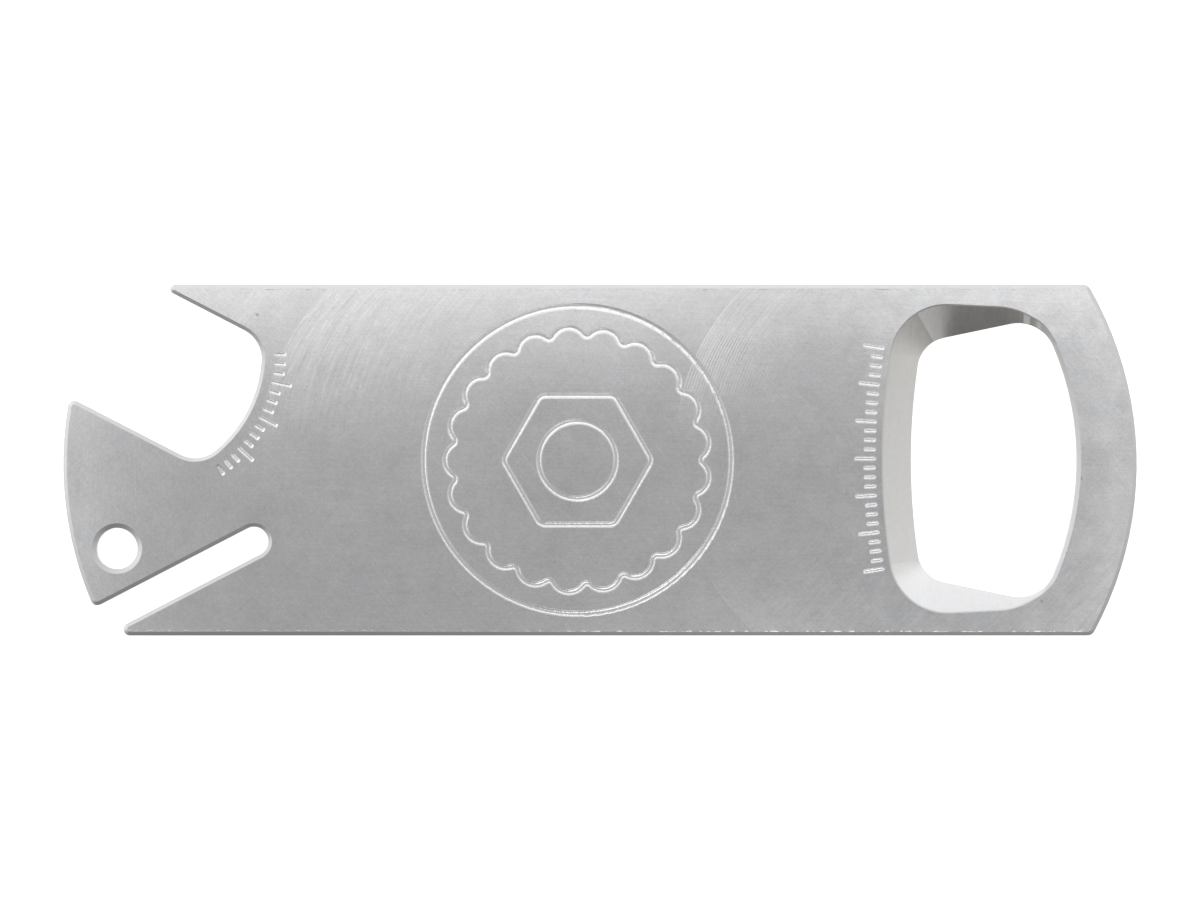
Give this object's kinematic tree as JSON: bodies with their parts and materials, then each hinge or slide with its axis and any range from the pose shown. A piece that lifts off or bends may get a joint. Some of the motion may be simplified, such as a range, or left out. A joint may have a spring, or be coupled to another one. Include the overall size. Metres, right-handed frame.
{
  "type": "pocket multi tool",
  "caption": "Flat solid aluminium pocket tool with a bottle cap opener, a hooked open-end wrench jaw, a narrow straightening slot and a key ring hole.",
  "frame": {"origin": "middle of the bar on its flat back face", "axes": "+X along the bar to the bottle opener end, +Y across the bar to the wrench jaw's side, +Z out of the engraved front face"},
  "size_m": [0.1166, 0.0382, 0.0063],
  "materials": {
    "machined_aluminium": "face-milled, fine brushed, broken edges"
  },
  "bodies": {
    "root": {"tool_plate": "machined_aluminium"}
  },
  "joints": []
}
